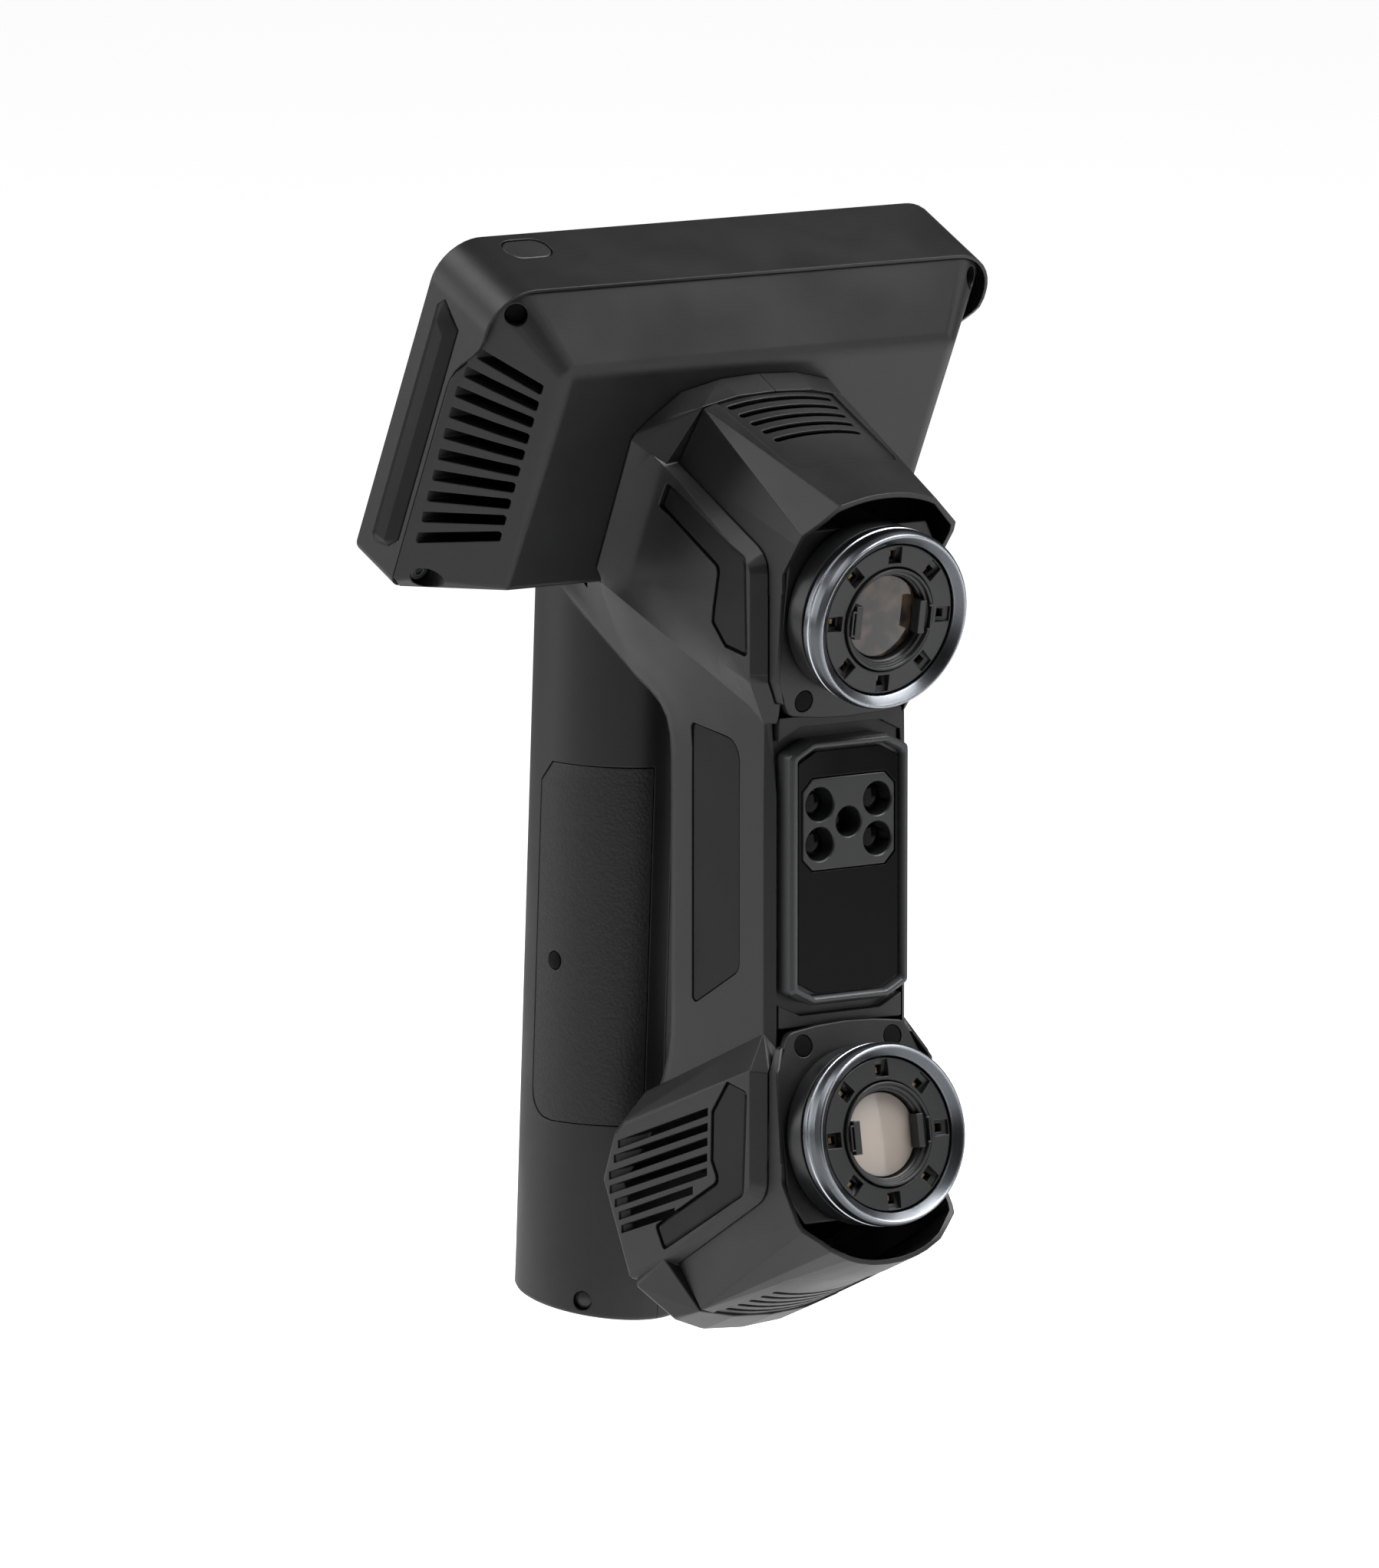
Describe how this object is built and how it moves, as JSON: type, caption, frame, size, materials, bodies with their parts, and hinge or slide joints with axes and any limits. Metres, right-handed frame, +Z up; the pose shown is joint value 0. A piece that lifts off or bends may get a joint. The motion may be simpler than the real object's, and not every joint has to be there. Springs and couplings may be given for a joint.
{
  "type": "handheld 3d scanner",
  "caption": "Handheld 3-D scanner: two toed-in ring-lit cameras and a projector on a bar, a tilted display head above and an oval battery handle behind.",
  "frame": {"origin": "centre of the flat base of the handle", "axes": "+Z up along the bar, -Y the way the cameras look, +X to the user's right when the screen faces them"},
  "size_m": [0.1658, 0.162, 0.2968],
  "materials": {
    "shell": "fine grained, matte charcoal",
    "black_trim": "matte black",
    "graphite_frame": "satin graphite",
    "black_barrel": "matte black anodised",
    "anodised_ring": "fine turned, anodised silver blue",
    "milled_aluminium": "milled",
    "coated_glass": "anti-reflective coated",
    "screen_glass": "polished",
    "gloss_black": "polished black",
    "display_panel": "dark display, off",
    "circuit_board": "solder mask",
    "soft_rubber": "fine stippled",
    "screw_cap": "matte",
    "key_black": "satin"
  },
  "bodies": {
    "scanner": {"head_bezel": "shell", "screen_glass": "screen_glass", "lcd_panel": "display_panel", "head_mainboard": "circuit_board", "heatsink": "milled_aluminium", "fan_housing": "graphite_frame", "head_back_cover": "shell", "side_bumper_left": "soft_rubber", "side_bumper_right": "soft_rubber", "head_screw_cap_left": "screw_cap", "head_screw_cap_right": "screw_cap", "body_shell_left": "shell", "body_shell_right": "shell", "upper_hood": "shell", "lower_hood": "shell", "upper_lens_plate": "shell", "lower_lens_plate": "shell", "bar_front_cover": "shell", "upper_inlay_left": "black_trim", "upper_inlay_right": "black_trim", "lower_inlay_left": "black_trim", "lower_inlay_right": "black_trim", "side_panel_left": "black_trim", "side_panel_right": "black_trim", "grip_pad_left": "soft_rubber", "grip_pad_right": "soft_rubber", "optical_chassis": "milled_aluminium", "imaging_board": "circuit_board", "upper_plate_cap_left": "screw_cap", "upper_plate_cap_right": "screw_cap", "lower_plate_cap_left": "screw_cap", "lower_plate_cap_right": "screw_cap", "projector_frame": "graphite_frame", "projector_glass": "gloss_black", "aperture_block": "graphite_frame", "laser_projector": "milled_aluminium", "texture_camera": "black_barrel", "battery_dock": "graphite_frame", "thumb_panel": "black_trim", "upper_barrel": "black_barrel", "upper_bezel_ring": "anodised_ring", "upper_light_ring": "black_barrel", "upper_window_ring": "black_barrel", "upper_window_glass": "coated_glass", "upper_objective": "black_barrel", "upper_camera_module": "milled_aluminium", "lower_barrel": "black_barrel", "lower_bezel_ring": "anodised_ring", "lower_light_ring": "black_barrel", "lower_window_ring": "black_barrel", "lower_window_glass": "coated_glass", "lower_objective": "black_barrel", "lower_camera_module": "milled_aluminium"},
    "battery": {"battery_pack": "black_trim"},
    "fan": {"fan_rotor": "graphite_frame"},
    "power_key": {"power_button": "key_black"},
    "scan_key": {"scan_button": "key_black"},
    "plus_key": {"plus_button": "key_black"},
    "minus_key": {"minus_button": "key_black"}
  },
  "joints": [
    {"name": "battery_slide", "type": "slide", "parent": "scanner", "child": "battery", "axis": [0, 0.0523, -0.9986], "range_m": [0, 0.106]},
    {"name": "fan_spin", "type": "hinge", "parent": "scanner", "child": "fan", "pos_m": [0.013, -0.03821, 0.23972], "axis": [0, -0.9026, -0.4305], "continuous": true},
    {"name": "power_press", "type": "slide", "parent": "scanner", "child": "power_key", "axis": [0, 0.4305, -0.9026], "range_m": [0, 0.0008], "stiffness_N_per_m": 900},
    {"name": "scan_press", "type": "slide", "parent": "scanner", "child": "scan_key", "axis": [0, -0.7795, -0.6264], "range_m": [0, 0.0005], "stiffness_N_per_m": 900},
    {"name": "plus_press", "type": "slide", "parent": "scanner", "child": "plus_key", "axis": [0, -0.7795, -0.6264], "range_m": [0, 0.0005], "stiffness_N_per_m": 900},
    {"name": "minus_press", "type": "slide", "parent": "scanner", "child": "minus_key", "axis": [0, -0.7795, -0.6264], "range_m": [0, 0.0005], "stiffness_N_per_m": 900}
  ]
}
